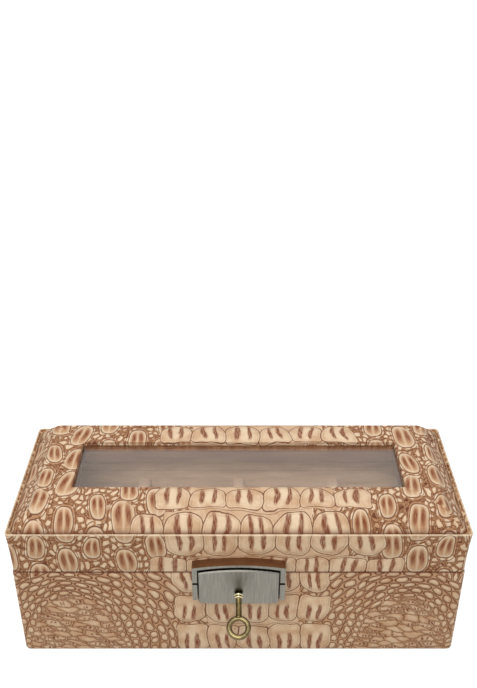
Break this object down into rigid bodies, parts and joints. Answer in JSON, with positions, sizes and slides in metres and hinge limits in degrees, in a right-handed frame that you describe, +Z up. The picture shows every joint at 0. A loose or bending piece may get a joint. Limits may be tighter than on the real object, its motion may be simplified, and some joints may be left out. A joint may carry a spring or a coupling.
{
  "type": "watch box",
  "caption": "Leather-covered watch box with a hinged lid, recessed glass window, divided cushioned bays and a push lock with a key.",
  "frame": {"origin": "centre of the base, on the surface the box stands on", "axes": "+X to the right along the width, +Y from the lock at the front to the back, +Z up"},
  "size_m": [0.26, 0.1359, 0.104],
  "materials": {
    "croc_leather": "satin crocodile-embossed",
    "suede": "matt suede",
    "felt": "matt felt",
    "board": "raw board",
    "foam": "foam",
    "glass": "clear",
    "nickel": "satin nickel",
    "hinge_brass": "antique",
    "key_brass": "antique",
    "spring_steel": "plain"
  },
  "bodies": {
    "box": {"base_felt": "felt", "floor_board": "board", "front_board": "board", "back_board": "board", "left_board": "board", "right_board": "board", "body_leather": "croc_leather", "floor_lining": "suede", "front_lining": "suede", "back_lining": "suede", "left_lining": "suede", "right_lining": "suede", "divider_left": "suede", "divider_centre": "suede", "divider_right": "suede", "hinge_leaf_body_left": "hinge_brass", "hinge_leaf_body_right": "hinge_brass", "hinge_pin_left": "hinge_brass", "hinge_pin_right": "hinge_brass", "hinge_screws_body": "hinge_brass", "lock_case": "nickel", "lock_case_screws": "nickel", "plate_springs": "spring_steel"},
    "lid": {"lid_front_board": "board", "lid_back_board": "board", "lid_left_board": "board", "lid_right_board": "board", "lid_wall_leather": "croc_leather", "lid_top_frame": "board", "top_padding": "foam", "lid_top_leather": "croc_leather", "window_glass": "glass", "glass_bead": "croc_leather", "window_liner": "suede", "lid_front_lining": "suede", "lid_back_lining": "suede", "lid_left_lining": "suede", "lid_right_lining": "suede", "hinge_leaf_lid_left": "hinge_brass", "hinge_leaf_lid_right": "hinge_brass", "hinge_screws_lid": "hinge_brass", "lock_arch": "nickel", "arch_screws": "nickel"},
    "push_plate_set": {"push_plate": "nickel", "latch_yoke": "spring_steel"},
    "drum": {"key_drum": "spring_steel"},
    "bolt": {"lock_bolt": "spring_steel"},
    "lock_key": {"key": "key_brass"},
    "cushion_1": {"watch_cushion_1": "suede"},
    "cushion_2": {"watch_cushion_2": "suede"},
    "cushion_3": {"watch_cushion_3": "suede"},
    "cushion_4": {"watch_cushion_4": "suede"}
  },
  "joints": [
    {"name": "lid_hinge", "type": "hinge", "parent": "box", "child": "lid", "pos_m": [0, 0.0524, 0.065], "axis": [-1, 0, 0], "range_deg": [0, 100]},
    {"name": "plate_push", "type": "slide", "parent": "box", "child": "push_plate_set", "axis": [0, 1, 0], "range_m": [0, 0.0012], "stiffness_N_per_m": 400, "deforming": ["plate_springs"]},
    {"name": "key_turn", "type": "hinge", "parent": "push_plate_set", "child": "drum", "pos_m": [0, -0.0558, 0.0553], "axis": [0, -0.9272, -0.3746], "range_deg": [0, 90]},
    {"name": "bolt_slide", "type": "slide", "parent": "box", "child": "bolt", "axis": [1, 0, 0], "range_m": [0, 0.00353]},
    {"name": "key_withdraw", "type": "slide", "parent": "drum", "child": "lock_key", "axis": [0, -0.9272, -0.3746], "range_m": [0, 0.02]},
    {"name": "cushion_1_lift", "type": "slide", "parent": "box", "child": "cushion_1", "axis": [0, 0, 1], "range_m": [0, 0.034]},
    {"name": "cushion_2_lift", "type": "slide", "parent": "box", "child": "cushion_2", "axis": [0, 0, 1], "range_m": [0, 0.034]},
    {"name": "cushion_3_lift", "type": "slide", "parent": "box", "child": "cushion_3", "axis": [0, 0, 1], "range_m": [0, 0.034]},
    {"name": "cushion_4_lift", "type": "slide", "parent": "box", "child": "cushion_4", "axis": [0, 0, 1], "range_m": [0, 0.034]}
  ],
  "couplings": [
    {"joint": "key_turn", "follows": "bolt_slide", "rad_per_m": 444.2}
  ]
}
